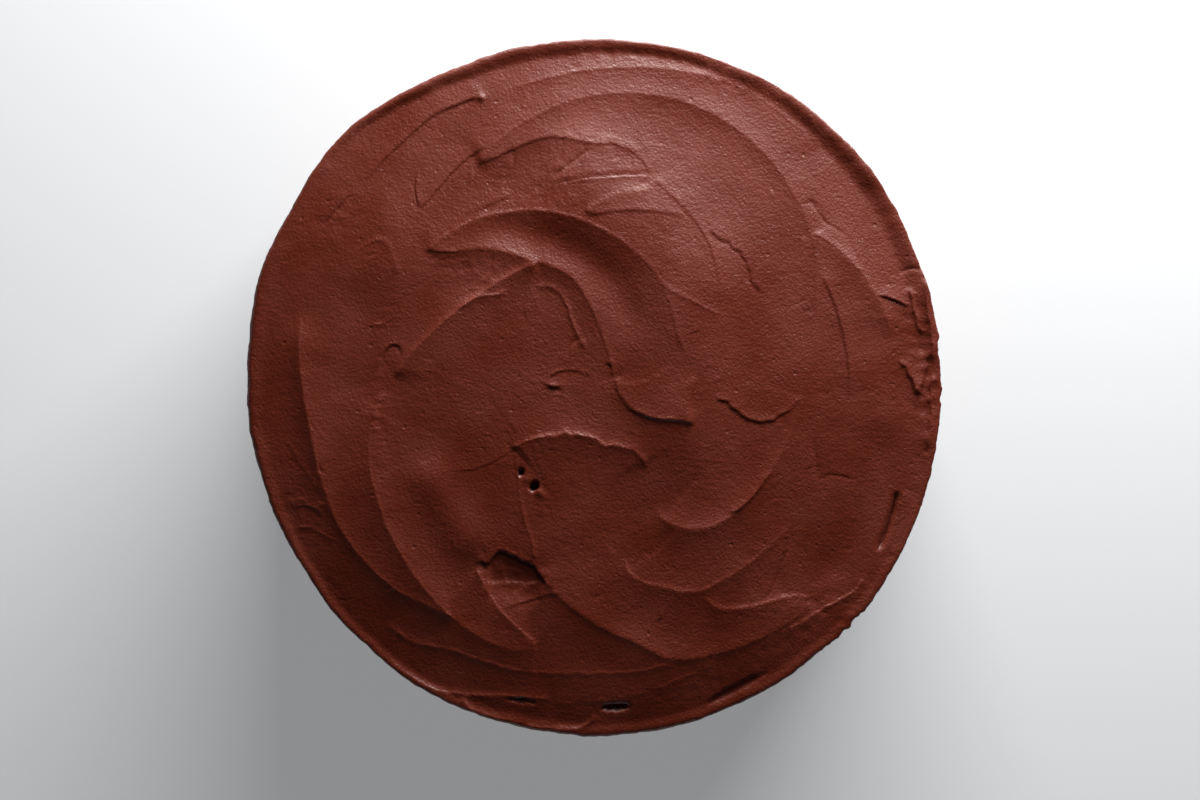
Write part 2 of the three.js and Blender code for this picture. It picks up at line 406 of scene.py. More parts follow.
edge(
    "west ring",
    [(-43, -70.3), (-52, -66), (-60, -62.3), (-68, -55.5), (-75, -47.5), (-81, -37), (-85, -24),
     (-88, -10), (-90, 2), (-91, 14), (-90, 26)],
    left=(0.6, 0.75, 0.95, 1.2, 1.6, 1.75, 1.4, 0.4),
    right=(0.55, 0.7, 0.9, 1.2, 1.6, 1.75, 1.35, 0.35), wide=(4.5, 8), lip=(0.08, 0.05, 0, 0, 0),
    fades=(3, 10), ragged=0.18, flap=0.02,
)
edge(
    "west facet",
    [(-83, -36), (-88, -27.5), (-92.5, -20), (-96, -13.5), (-98.6, -6), (-99, 6), (-98.6, 17),
     (-96.5, 21.5), (-96, 27)],
    left=0.06, wide=(4, 3), lip=0, fades=(4, 5), ragged=0.2, flap=-0.03,
)
edge(
    "south-west band",
    [(25, -83.8), (18, -85.6), (8, -87), (-6, -87.2), (-18, -86.9), (-28, -85.3), (-36, -82.8),
     (-44, -80.3), (-54, -78.2), (-60, -75.3), (-65, -72)],
    left=(0.2, 0.32, 0.28, 0.2), right=(0.2, 0.36, 0.32, 0.24), wide=(6, 6),
    lip=(0.04, 0.04, 0.04, 0.12, 0.12), fades=(2, 3), ragged=0.35,
)
edge(
    "south band",
    [(38, -83.3), (30, -87.2), (20, -91.5), (10, -94.5), (-2, -96.2), (-14, -96.5)],
    left=(0.2, 0.3, 0.25, 0.2), right=(0.25, 0.38, 0.32), wide=(6, 6), fades=(4, 4), ragged=0.35,
)
edge(
    "rim strip",
    [(-64, -83.5), (-60, -86.5), (-54, -90.3), (-48, -92.8), (-40, -94), (-30, -94.5), (-22, -94.7),
     (-13, -95.6)],
    left=0.2, right=(0.3, 0.5, 0.3), wide=(3, 5), lip=(0.15, 0.2, 0.15, 0.1), fades=(4, 3),
    ragged=0.3,
)
edge(
    "rim leaf",
    [(-41, -95), (-38, -98.5), (-30, -101.7), (-20, -104.2), (-10, -105), (-4, -104.2),
     (-1, -102.5), (0, -100)],
    right=0.3, wide=(3, 4), lip=0.22, lip_wide=0.5, fades=(1, 1), ragged=0.3,
)

# Shorter laps, steps and torn bits.
edge(
    "north-west line",
    [(-72, 62), (-65, 70.8), (-58, 77.2), (-50, 84), (-43, 87.4), (-37, 89.6), (-33.5, 89.2)],
    left=(0.1, 0.35, 0.4, 0.45), right=(0.05, 0.2, 0.22, 0.15), wide=(6, 4), fades=(8, 1),
    ragged=0.25,
)
edge(
    "north-west vee",
    [(-55, 67), (-55, 60.5), (-53.7, 56.2), (-50.5, 58.8), (-45.5, 64.6), (-40, 70.2), (-33, 74.6)],
    left=0.14, wide=(3, 3), lip=-0.04, fades=(3, 2), ragged=0.2,
)
edge(
    "north-west crack",
    [(-84.5, 49.5), (-80, 54.6), (-75.3, 60.4)],
    left=0.12, lip=-0.18, fades=(2, 1), ragged=0.3,
)
edge(
    "north-west crack return",
    [(-75.3, 60.2), (-74.3, 57.5), (-76.5, 53.5)],
    lip=-0.12, fades=(1, 2), ragged=0.3,
)
edge(
    "north-west hook",
    [(-76, 40.5), (-70, 44.3), (-66, 45.8), (-63.5, 44), (-61.5, 39.5), (-60.3, 35)],
    right=0.12, wide=(3, 4), lip=(0.02, 0.1, 0.16, 0.22), lip_wide=0.45, fades=(5, 1), ragged=0.2,
)
edge(
    "west oval",
    [(-66.5, 5), (-65.3, 9.5), (-63.5, 12.6), (-61.3, 13.6), (-59.4, 12.4), (-58.8, 10)],
    left=0.1, right=-0.15, wide=(2, 2.5), fades=(2, 2), ragged=0.3,
)
edge(
    "centre hook",
    [(-18, 31.4), (-13.5, 30.9), (-10.5, 29), (-8.2, 24.5), (-6.8, 20), (-5.3, 16.8), (-4.3, 15.3)],
    left=0, right=0.05, wide=(2, 4), lip=(0.14, 0.2, 0.24, 0.24, 0.3), lip_wide=0.36, fades=(1, 1),
    ragged=0.35, wave=2.2,
)
edge(
    "centre hook tail",
    [(-4.3, 15.6), (-6, 14.3), (-7.4, 12.8), (-7.8, 9)],
    lip=(-0.18, -0.12, -0.05), fades=(1, 2),
)
edge(
    "centre nick",
    [(-15.4, 2), (-13, 0.6), (-10.8, 0.5)],
    right=-0.1, wide=(1, 1), lip=0.18, fades=(1, 1), ragged=0.3,
)
edge(
    "centre arc",
    [(-14.3, 2.8), (-11.5, 5), (-8.5, 5.4), (-5.2, 5.1), (0, 3.5)],
    right=-0.07, wide=(3, 2), lip=(0.08, 0.1, 0.06, 0), fades=(1, 2), ragged=0.4, wave=2,
)
edge(
    "fine line",
    [(20.5, 32), (24, 29.6), (30, 26.4), (38, 22.7)],
    right=0.06, wide=(3, 2), lip=0.12, fades=(1, 1), ragged=0.3,
)
edge(
    "leaf under",
    [(-3.4, 54.3), (0, 53.4), (6, 54.2), (13, 54.6), (20, 54.1), (27.3, 53)],
    left=(0.3, 0.32, 0.27, 0.22), right=0.22, wide=(3.5, 2.5), fades=(1, 1), flap=0.05,
)
edge(
    "leaf top",
    [(-3.4, 54.5), (1, 57), (6.5, 60), (11.5, 60.9), (17.5, 61)],
    left=0.15, right=0.38, wide=(4, 4), fades=(1, 2),
)
edge(
    "bar groove",
    [(-13, 63), (-5, 64.5), (4, 65.5), (12, 66), (17.3, 66.1)],
    left=0.2, wide=(3.5, 3), lip=(-0.03, -0.08, -0.14, -0.12), fades=(2, 1),
)
edge(
    "bar ridge",
    [(-13, 62), (-5, 63.4), (4, 64.4), (12, 64.9), (17.3, 65)],
    lip=(0.03, 0.07, 0.09, 0.09), fades=(2, 1),
)
edge("bar notch", [(12.5, 61.8), (15.3, 63.6), (16.4, 62.6)], lip=-0.3, lip_wide=0.7, fades=(1, 1))
edge(
    "patch west",
    [(-12.3, 65.2), (-8, 68.3), (-4.5, 71), (-1, 73.6)],
    right=0.12, wide=(3, 4), lip=-0.32, fades=(1, 2), ragged=0.5,
)
edge(
    "long crack",
    [(34.8, 49.2), (38.5, 45.6), (43, 42.8), (46.5, 37.5), (49, 31.5), (51.7, 28.6)],
    left=0.12, wide=(3.5, 3), lip=(-0.12, -0.15, -0.1, -0.2, -0.12), lip_wide=0.5, fades=(1, 2),
    ragged=0.9, wave=1.6,
)
edge(
    "east end lip",
    [(36.8, -3.2), (40.5, -4.5), (44, -7.3), (48, -9.6), (53, -10.3), (57, -8.3), (61, -5.5),
     (63.3, -1.5)],
    left=(0.2, 0.3, 0.35, 0.35, 0.25, 0.15), right=(0.0, 0.05, 0.12, 0.15), wide=(4, 3),
    lip=(0, 0.03, 0.05, 0.08, 0.05), fades=(1, 2), ragged=0.5, wave=2,
)
edge(
    "ring leaf",
    [(41.2, -38.6), (45.5, -36), (50, -31.5), (54.3, -25.5)],
    left=0.12, right=0.05, wide=(2, 3), flap=0.09, fades=(1, 2), ragged=0.3,
)
edge(
    "short tear",
    [(3.3, 8.3), (4.5, 7.4), (5.9, 6.2)],
    left=0.2, right=-0.15, wide=(1.4, 1), fades=(0.6, 0.6),
)
edge(
    "torn edge",
    [(-36.2, -53.8), (-34.6, -52.4), (-33, -53.3), (-31, -51), (-27.6, -50), (-24.4, -51.6),
     (-20.6, -53.4), (-17, -56.6), (-14.6, -61)],
    left=(0.1, 0.15, 0.15, 0.1), right=(-0.2, -0.6, -0.75, -0.75, -0.4), wide=(3.5, 14), lip=0.14,
    fades=(1, 2), ragged=0.9, wave=1.6,
)
edge(
    "torn floor bar",
    [(-33.9, -59.6), (-25, -59.4), (-14, -59.8)],
    left=0.02, right=0.4, wide=(1.2, 5), lip=0.06, fades=(1, 1), ragged=0.2,
)
edge(
    "torn floor end",
    [(-27.3, -67), (-20, -65.2), (-14, -63.2), (-10.8, -63)],
    left=0.17, right=0.1, wide=(5, 3), lip=0.04, fades=(1, 1), ragged=0.2,
)
edge(
    "west soft line",
    [(-46, -25), (-38, -25), (-33, -23.2), (-28, -20.6), (-24.8, -18.8)],
    left=0.12, right=(0.12, 0.08), wide=(6, 6), fades=(5, 1), ragged=0.3, flap=0.05,
)
edge(
    "east gash",
    [(86.9, 29), (90, 28.2), (94, 26.6), (97.3, 24.4)],
    left=(0.25, 0.45, 0.35), right=0.05, wide=(3.5, 2), flap=0.12, fades=(1, 1), ragged=0.4, wave=2,
)
edge(
    "east fold",
    [(96.9, 31.9), (97.8, 25.6), (99.1, 20.1), (101.5, 16.3)],
    left=0.6, right=0.35, wide=(2.2, 2.5), lip=0.18, fades=(2, 2), ragged=0.7, wave=2,
)
edge(
    "east flap west side",
    [(93.5, 9.5), (95.5, 6.6), (98.2, 1.1), (100.5, -1.6)],
    left=(0.2, 0.5, 0.6), right=0.1, wide=(3, 2), lip=0.1, fades=(2, 1), ragged=0.8, wave=1.8,
)
edge(
    "east flap east side",
    [(100.5, -1.6), (101.9, 2.9), (102.4, 7.5), (103.2, 11.5)],
    left=(0.6, 0.5, 0.2), right=-0.2, wide=(3, 2), lip=0.1, fades=(1, 2), ragged=0.8, wave=1.8,
)
edge(
    "east rim fold",
    [(101.2, 34.6), (102.4, 26.5), (103.4, 20.1), (103.9, 13.8), (104.4, 8)],
    left=0.5, right=0.4, wide=(1.2, 2.2), lip=0.2, fades=(3, 3), ragged=0.6, wave=2.2,
)
edge(
    "east rim fold lower",
    [(104.6, 5), (103.6, -3), (103.7, -12), (102.3, -20)],
    left=0.55, right=0.45, wide=(1.2, 2.2), lip=0.2, fades=(3, 4), ragged=0.6, wave=2.2,
)
edge(
    "north-east nick",
    [(94.4, 35.2), (96, 36.9), (99.2, 37.3), (101, 36)],
    lip=-0.25, lip_wide=0.7, fades=(1, 1), ragged=0.5, wave=2,
)
edge(
    "north-east crack",
    [(64.8, 56), (66.6, 58), (68.5, 55.3), (71, 52), (75, 49.2), (78.3, 46), (80.3, 42),
     (81.8, 38.5)],
    right=0.05, wide=(3, 3), lip=(-0.2, -0.15, -0.07, -0.08, -0.06), fades=(1, 2), ragged=0.4,
)
edge(
    "south-east line",
    [(84, -57.5), (80, -62), (75, -65.4), (70, -67.6), (64, -71.5), (56, -75.2)],
    left=0.35, right=0.2, wide=(5, 4), lip=0.05, fades=(3, 3), ragged=0.5,
)
edge(
    "south-east seam",
    [(60.5, -41), (60, -48), (57, -56), (53.3, -64.3)],
    right=0.15, wide=(3, 3), lip=-0.16, fades=(2, 1), ragged=0.7, wave=2, flap=0.12,
)
edge("east seam", [(67.6, -15), (67.8, -22), (69.3, -28.5)], lip=-0.2, fades=(1, 2), ragged=0.4)
edge("east seam across", [(69, -28), (73, -26), (80, -28)], lip=-0.1, fades=(1, 2), ragged=0.5)
edge(
    "east gouge",
    [(93.2, -31.5), (92.0, -37), (89.8, -44), (87.6, -50.5)],
    left=(-1.2, -2.6, -2.8, -1.8), right=(-1.0, -2.4, -2.6, -1.6), wide=(0.5, 0.4), fades=(1.5, 3),
    ragged=0.2,
)
edge(
    "east gouge side",
    [(96.5, -31), (95.6, -38), (93.2, -46), (91.2, -51.5)],
    left=0.15, right=0.25, wide=(2.5, 2), flap=0.1, fades=(2, 1), ragged=0.3,
)
edge("upper tick", [(-30.5, 41), (-32, 36.6), (-34.8, 33)], lip=-0.1, fades=(1, 2))
edge(
    "upper scratch",
    [(-42, 52), (-35, 55.2), (-30, 57.2), (-24, 60)],
    lip=-0.06, fades=(3, 2), ragged=0.4,
)
edge(
    "upper nub",
    [(-31, 71), (-27.5, 72.4), (-24.2, 72.6), (-24.4, 70.6), (-26, 66), (-28.5, 60)],
    lip=(0, -0.15, -0.15, -0.06, -0.08), fades=(1, 3), ragged=0.6,
)
edge(
    "south-west curl",
    [(-79, -47.2), (-84, -44.3), (-88, -42.3), (-91.5, -42.8), (-93, -46)],
    right=0.08, wide=(3, 4), lip=0.1, lip_wide=0.5, fades=(3, 1), ragged=0.3,
)
edge(
    "south-west nib",
    [(-92.5, -36.3), (-88, -36.3), (-85.5, -37.2), (-84, -38.8)],
    right=-0.08, wide=(1, 2), lip=0.2, fades=(1, 1), ragged=0.4,
)
edge(
    "south-west slash",
    [(-96, -16), (-91, -22.5), (-86.5, -29.5), (-83, -35)],
    lip=(-0.06, 0.06, 0.06, 0.03), fades=(1, 2), ragged=0.4, flap=0.04,
)


def nicks(count, seed):
    """Short scratches and tears strewn over the top."""
    draw = np.random.default_rng(seed)
    for number in range(count):
        far, angle, heading = RADIUS * 0.95 * math.sqrt(draw.uniform()), *draw.uniform(0, math.tau, 2)
        x, y, length = far * math.cos(angle), far * math.sin(angle), draw.uniform(1.2, 5)
        dx, dy, bend = length * math.cos(heading), length * math.sin(heading), draw.uniform(-0.3, 0.3)
        points = [(x - dx / 2, y - dy / 2), (x - bend * dy, y + bend * dx), (x + dx / 2, y + dy / 2)]
        edge(f"nick {number}", points, lip=draw.uniform(-0.12, 0.08), lip_wide=0.4,
             flap=draw.uniform(0, 0.12), fades=(0.7, 0.7), ragged=0.45, wave=1.3)


nicks(110, 77)

soft("left crescent swell", [(-54, -18), (-47, -33), (-40, -45), (-34, -55)], depth=-0.9, wide=7)
soft(
    "north swell",
    [(-26, 62), (3, 58), (18, 46), (26, 28), (28, 5), (26, -20), (22, -42)],
    depth=(-2.6, -2.8, -2.5, -2.0, -1.4), wide=19, fades=(25, 32),
)
soft("north-west swell", [(-75, 22), (-62, 42), (-44, 58)], depth=-0.8, wide=14, fades=(20, 20))
soft(
    "swoosh hollow",
    [(-38, 47), (-27, 48), (-15, 46), (-4, 41), (5, 33.5), (11, 24), (14.5, 13)],
    depth=(0.3, 0.7, 0.78, 0.6, 0.4), wide=5.5, fades=(10, 12),
)
soft("torn floor", [(-33, -60), (-25, -60.5), (-16, -64)], depth=1.0, wide=5, fades=(2, 3))
soft("east valley", [(88, -8), (87, -25), (82, -40), (75, -52), (64, -62)], depth=0.6, wide=6)


def stepped(values, share):
    """One value all along, or a list of values run through from start to end."""
    values = np.atleast_1d(np.array(values, float))
    return np.interp(share, np.linspace(0, 1, len(values)), values) if len(values) > 1 else values[0]


def edge_line(spec):
    smooth = spline(spec["points"], 0.8)
    return wander(smooth, spec["ragged"], spec["wave"], name_seed(spec["name"]))


def add_edge(z, x, y, spec):
    """Raises the top beside one edge: its two sides, its beaded lip and its flap."""
    wide_left, wide_right = spec["wide"]
    reach = EDGE_REACH * max(wide_left, wide_right)
    i, off, along, length = measured(edge_line(spec), x, y, reach)
    share = along / length
    away = np.abs(off)
    start = ease(along / (spec["fades"][0] + END_FLARE * away))
    end = ease((length - along) / (spec["fades"][1] + END_FLARE * away))
    fade_out = ease((reach - away) / (0.3 * reach))
    left = stepped(spec["left"], share) * np.exp(-away / wide_left)
    right = stepped(spec["right"], share) * np.exp(-away / wide_right)
    side = ease(0.5 + off / CLIFF)
    beading = fractal(along, along * 0 + 3.1, 2.2, name_seed(spec["name"]) + 50)
    bead = np.maximum(0.2, 1 + 0.7 * beading)
    lip = stepped(spec["lip"], share) * bead * np.exp(-((off / spec["lip_wide"]) ** 2))
    ridge = np.exp(-(((off - FLAP_WIDE) / FLAP_WIDE) ** 2))
    groove = np.exp(-(((off + FLAP_WIDE) / FLAP_WIDE) ** 2))
    flap = stepped(spec["flap"], share) * bead * (ridge - groove)
    z[i] += (left * side + right * (1 - side) + lip + flap) * start * end * fade_out


def add_soft(z, x, y, spec):
    """Lowers the top along one soft band."""
    i, off, along, length = measured(spline(spec["points"], 2.0), x, y, 3 * spec["wide"])
    ends = ease(along / spec["fades"][0]) * ease((length - along) / spec["fades"][1])
    z[i] -= stepped(spec["depth"], along / length) * np.exp(-((off / spec["wide"]) ** 2)) * ends


# ==== single marks: holes, pits, blobs and rough patches ====================================
# x, y, half length, half width, depth, degrees round of the long side
HOLES = [
    (-22.5, -25.5, 1.0, 0.9, 2.6, 0),
    (-18.5, -30.0, 1.5, 1.2, 3.0, 20),
    (6.7, -98.0, 4.2, 1.1, 1.7, 4),
    (-22.5, -95.8, 4.4, 0.7, 0.9, -6),
    (43.0, -92.6, 10.5, 1.1, 0.55, 27),
]
# x, y, half length, half width, height, degrees round of the long side
BLOBS = [
    (-17.2, -31.6, 2.0, 0.8, 0.45, -40),
    (-20.6, -27.6, 0.9, 0.7, 0.3, 0),
    (-34.8, 89.4, 1.4, 0.7, 0.4, 10),
    (-66.0, -3.2, 1.5, 0.7, 0.22, 70),
    (-67.5, -8.0, 1.6, 0.7, 0.25, 80),
    (-67.5, -11.5, 1.4, 0.6, 0.2, 80),
    (-3.6, 14.0, 1.2, 0.6, 0.5, -60),
    (-84.5, -35.5, 1.4, 0.7, 0.3, -30),
    (-90.0, -34.5, 2.0, 0.7, 0.25, 10),
    (37.5, 3.0, 1.1, 0.6, 0.2, 20),
    (-12.0, 0.9, 1.4, 0.5, 0.5, -10),
]
# x, y, half length, half width, roughness, degrees round of the long side
ROUGH_PATCHES = [
    (24, 44, 14, 8, 0.09, -12),
    (101, 4, 22, 5, 0.22, 92),
    (97, 27, 9, 6, 0.18, 75),
    (4, 104, 16, 3, 0.2, -3),
    (38, 97.5, 16, 3, 0.2, -22),
    (66, 82, 16, 4, 0.16, -40),
    (-12, 67, 5, 5, 0.2, 40),
    (28, 60, 6, 4, 0.12, -40),
    (-34, 32, 8, 4, 0.16, 35),
    (-40, 38, 12, 5, 0.18, 10),
    (-26, 62, 10, 7, 0.16, 0),
    (64, -74, 24, 7, 0.18, 38),
    (-66, -10, 3, 14, 0.2, 0),
    (-25, -57, 8, 5, 0.08, 0),
    (-92, -38, 8, 6, 0.14, -40),
    (-12, 1, 6, 4, 0.2, 0),
    (30, -92, 22, 5, 0.16, 14),
    (5, 76, 12, 3, 0.22, -8),
    (-80, 52, 9, 8, 0.16, 40),
]


def turned(dx, dy, long, short, degrees):
    """Offsets from a mark along and across its long side, in shares of its half sizes."""
    c, s = math.cos(math.radians(degrees)), math.sin(math.radians(degrees))
    return (dx * c + dy * s) / long, (dy * c - dx * s) / short


def add_holes(z, x, y):
    ragged = 0.16 * noise(x, y, 1.1, 401)
    for at_x, at_y, long, short, depth, degrees in HOLES:
        u, v = turned(x - at_x, y - at_y, long, short, degrees)
        z -= depth * (1 - ease((np.hypot(u, v) + ragged - 0.72) / 0.4))


def add_blobs(z, x, y):
    uneven = 1 + 0.4 * noise(x, y, 0.9, 402)
    for at_x, at_y, long, short, height, degrees in BLOBS:
        u, v = turned(x - at_x, y - at_y, long, short, degrees)
        z += height * np.exp(-(u * u + v * v) * uneven)


def add_rough_patches(z, x, y):
    for at_x, at_y, long, short, roughness, degrees in ROUGH_PATCHES:
        u, v = turned(x - at_x, y - at_y, long, short, degrees)
        torn = 1 - 2.4 * np.abs(fractal(u * long * 0.6, v * short, 2.6, 403, 3))
        drag = 0.8 * torn + 0.5 * noise(x, y, 3.1, 405)
        z += roughness * drag * np.exp(-((u * u + v * v) ** 1.5))


def scatter(z, x, y, count, low, high, depth, seed):
    """Small oval bubbles (a positive depth) or crumbs (a negative one) strewn over the top."""
    draw = np.random.default_rng(seed)
    for _ in range(count):
        far, angle = RADIUS * math.sqrt(draw.uniform()), draw.uniform(0, math.tau)
        size, rise = draw.uniform(low, high), depth * draw.uniform(0.5, 1.2)
        cx, cy = far * math.cos(angle), far * math.sin(angle)
        near = np.flatnonzero((np.abs(x - cx) < 2.5 * size) & (np.abs(y - cy) < 2.5 * size))
        off = ((x[near] - cx) ** 2 + (1.6 * (y[near] - cy)) ** 2) / size**2
        z[near] -= rise * np.exp(-off)


# ==== the top as a whole ====================================================================
def bump_at(degrees, at, wide):
    """1 at one place round the cake, falling away smoothly on both sides."""
    off = np.abs(degrees - at)
    return np.exp(-((np.minimum(off, 360 - off) / wide) ** 2))


def outline(angle, ragged=1.0):
    """The cake's radius by angle; ragged is the share of the rim's torn unevenness that shows."""
    degrees = np.degrees(angle) % 360
    radius = np.full(np.shape(degrees), RADIUS)
    for at, wide, out in BULGES:
        radius = radius + out * bump_at(degrees, at, wide)
    x, y = RADIUS * np.cos(angle), RADIUS * np.sin(angle)
    torn = sum(strength * bump_at(degrees, at, wide) for at, wide, strength in TORN)
    radius = radius + ragged * (RIM_UNEVEN + TORN_UNEVEN * torn) * fractal(x, y, 3.2, 31, 3)
    return radius + OUTLINE_WAVE * noise(x, y, 14, 35)


def rim_values(angle):
    """The rim's rise, the width of its inner wall and the width of its crest, by angle."""
    degrees = np.degrees(angle) % 360
    x, y = RADIUS * np.cos(angle), RADIUS * np.sin(angle)
    uneven = 0.15 * noise(x, y, 2.6, 70) + 0.35 * noise(x, y, 6, 71) + 0.35 * noise(x, y, 18, 72)
    rise = np.interp(degrees, RIM_DEGREES, RIM_RISE) * (1 + 0.35 * uneven)
    wall = np.interp(degrees, RIM_DEGREES, RIM_WALL)
    crest = np.interp(degrees, RIM_DEGREES, RIM_CREST) * (1 + 0.5 * uneven)
    return rise, wall, crest


def top_height(x, y, angle, inwards):
    """How high the top stands over TOP; inwards is how far in from the outline each point lies."""
    z = np.zeros_like(x)
    for spec in EDGES:
        add_edge(z, x, y, spec)
    for spec in SOFT_BANDS:
        add_soft(z, x, y, spec)
    z -= DOME * (np.hypot(x, y + DOME_SOUTH) / RADIUS) ** DOME_POWER
    rise, wall, crest = rim_values(angle)
    z += rise * (1 - ease((inwards - crest) / wall))
    z += sum(height * fractal(x, y, wide, seed) for height, wide, seed in TOP_WAVES)
    add_holes(z, x, y)
    add_blobs(z, x, y)
    add_rough_patches(z, x, y)
    scatter(z, x, y, count=260, low=0.4, high=0.9, depth=0.12, seed=61)
    scatter(z, x, y, count=200, low=0.4, high=0.8, depth=-0.12, seed=62)
    return z


def drawn_to_edges(x, y):
    """The grid's points crowded towards every edge, so that each cliff and crest runs clean."""
    for spec in EDGES:
        line = edge_line(spec)
        i, off, along, length = measured(line, x, y, CROWD_REACH)
        share = np.abs(off) / CROWD_REACH
        ends = ease(along / 2) * ease((length - along) / 2)
        scale = 1 + ends * (share ** (CROWD_POWER - 1) - 1)
        move = (scale - 1) * off
        tangent = tangent_at(line, along)
        x[i] -= tangent[:, 1] * move
        y[i] += tangent[:, 0] * move
    return x, y


def tangent_at(line, along):
    """The line's direction at the given distances along it."""
    steps = np.linalg.norm(np.diff(line, axis=0), axis=1)
    at = np.concatenate([[0], np.cumsum(steps)])
    tangent = np.gradient(line, axis=0)
    found = np.stack([np.interp(along, at, tangent[:, k]) for k in (0, 1)], 1)
    return found / (np.linalg.norm(found, axis=1)[:, None] + 1e-9)


# ==== meshes ================================================================================
def disc_grid(cells):
    """A square grid carried on to a disc so that its squares become rings: share of radius, angle."""
    unit = np.linspace(-1, 1, cells + 1)
    u, v = (a.ravel() for a in np.meshgrid(unit, unit))
    wide = np.abs(u) > np.abs(v)
    share = np.where(wide, np.abs(u), np.abs(v))
    with np.errstate(divide="ignore", invalid="ignore"):
        across = np.pi / 4 * v / u + np.where(u < 0, np.pi, 0)
        up = np.where(v > 0, np.pi / 2, 3 * np.pi / 2) - np.pi / 4 * u / v
    angle = np.where(wide, across, np.where(share == 0, 0, up))
    return share, angle


def grid_faces(cells):
    """The squares of the grid, facing up."""
    row = np.arange(cells)
    i, j = (a.ravel() for a in np.meshgrid(row, row))
    a = j * (cells + 1) + i
    return np.stack([a, a + 1, a + cells + 2, a + cells + 1], 1)


def border(cells):
    """The grid's corners round its edge, counter-clockwise."""
    steps, width = np.arange(cells), cells + 1
    right = steps * width + cells
    upper = cells * width + cells - steps
    left = (cells - steps) * width
    return np.concatenate([right, upper, left, steps])


def loop_faces(upper, lower):
    """Squares between two closed loops, wound to face outwards when lower lies below upper."""
    return np.stack([upper, lower, np.roll(lower, -1), np.roll(upper, -1)], 1)


def fan_faces(loop, middle, up):
    """Triangles from a closed loop to one point in its middle."""
    ahead = np.roll(loop, -1)
    ends = (loop, ahead) if up else (ahead, loop)
    return np.stack([*ends, np.full(len(loop), middle)], 1)


def mesh_piece(name, points, squares, triangles):
    mesh = bpy.data.meshes.new(name)
    mesh.from_pydata((points * MM).tolist(), [], squares.tolist() + triangles.tolist())
    mesh.shade_smooth()
    piece = bpy.data.objects.new(name, mesh)
    bpy.context.scene.collection.objects.link(piece)
    return piece


def ring(angle, radius, z):
    return np.stack([radius * np.cos(angle), radius * np.sin(angle), z], 1)


def top_grid():
    """The top's points, with the rim's indices, angles and rounding."""
    share, angle = disc_grid(TOP_CELLS)
    rounding = np.clip(rim_values(angle)[2], 0.3, 2.2)
    radius = share * (outline(angle) - rounding)
    x, y = radius * np.cos(angle), radius * np.sin(angle)
    rim = border(TOP_CELLS)
    rim_x, rim_y = x[rim].copy(), y[rim].copy()
    x, y = drawn_to_edges(x, y)
    x[rim], y[rim] = rim_x, rim_y
    angle_now = np.arctan2(y, x)
    z = TOP + top_height(x, y, angle_now, outline(angle_now) - np.hypot(x, y))
    return np.stack([x, y, z], 1), rim, angle[rim], rounding[rim]


def skirt_rings(angle, high, rounding):
    """Rings of points over the rim's rounding, then down the skirt, where the torn rim evens out."""
    even_radius = outline(angle, 0)
    raggedness = outline(angle) - even_radius
    drop = rounding * 1.3
    lap = SKIRT_DEPTH + 1.4 * fractal(*ring(angle, even_radius, high).T[:2], 9, 81)
    rows = [(k / ROUNDING_ROWS * math.pi / 2, 0) for k in range(1, ROUNDING_ROWS + 1)]
    rows += [(math.pi / 2, k / SKIRT_ROWS) for k in range(1, SKIRT_ROWS + 1)]
    for turn, down in rows:
        ragged_radius = even_radius + raggedness * (1 - down) ** 2
        out = ragged_radius - rounding * (1 - math.sin(turn)) - 0.5 * down
        level = high - drop * (1 - math.cos(turn)) - down * lap
        wobble = 0.18 * fractal(angle * RADIUS, level, 2.4, 83) * math.sin(turn)
        yield ring(angle, out + wobble, level)


def frosting_top():
    grid, rim, angle, rounding = top_grid()
    points, squares = [grid], [grid_faces(TOP_CELLS)]
    upper, count = rim, len(grid)
    for loop in skirt_rings(angle, grid[rim, 2], rounding):
        lower = np.arange(count, count + len(loop))
        points.append(loop)
        squares.append(loop_faces(upper, lower))
        upper, count = lower, count + len(loop)
    points.append([[0, 0, TOP - SKIRT_DEPTH - 3]])
    underside = fan_faces(upper, count, up=False)
    return mesh_piece("frosting_top", np.vstack(points), np.vstack(squares), underside)


def wall_relief(angle, z):
    """How far the wall stands out, in millimetres, left by a scraper drawn round it."""
    around = (angle % math.tau) * RADIUS
    x, y = RADIUS * np.cos(angle), RADIUS * np.sin(angle)
    bands = 0.55 * noise(z + 3 * noise(x, y, 60, 91), 0.02 * x + 0.02 * y, 13, 92)
    drag = 0.12 * noise(x + y * 0.3, z * 7, 22, 93) + 0.05 * noise(x, z * 6, 9, 94)
    swell = 0.5 * fractal(x, y + 0.6 * z, 38, 95) + 0.16 * fractal(x + 0.7 * y, z, 12, 97)
    return bands + drag + swell + add_laps(around, z)


# where a scraper's pass stopped: millimetres round, foot and head of the mark, height, lean
LAPS = [
    (40, 8, 74, 0.7, 6), (118, 20, 80, 0.5, -5), (196, 5, 52, 0.8, 8), (271, 26, 78, 0.6, 4),
    (338, 10, 66, 0.7, -7), (402, 30, 79, 0.5, 6), (470, 6, 58, 0.8, 5), (548, 18, 76, 0.6, -6),
    (617, 12, 70, 0.7, 7),
]


def add_laps(around, z):
    """The marks where a scraper's pass stopped: a sharp step on one side, a slope on the other."""
    total = np.zeros_like(z)
    for at, low, high, rise, lean in LAPS:
        share = (z - low) / (high - low)
        bend = lean * share + 0.5 * noise(z, z * 0, 3.0, at)
        off = (around - at - bend + math.pi * RADIUS) % (math.tau * RADIUS) - math.pi * RADIUS
        ends = ease(share * 5) * ease((1 - share) * 5)
        slope = np.where(off > 0, np.exp(-np.abs(off) / 9), np.exp(-np.abs(off) / 0.5))
        total += rise * slope * ends
    return total


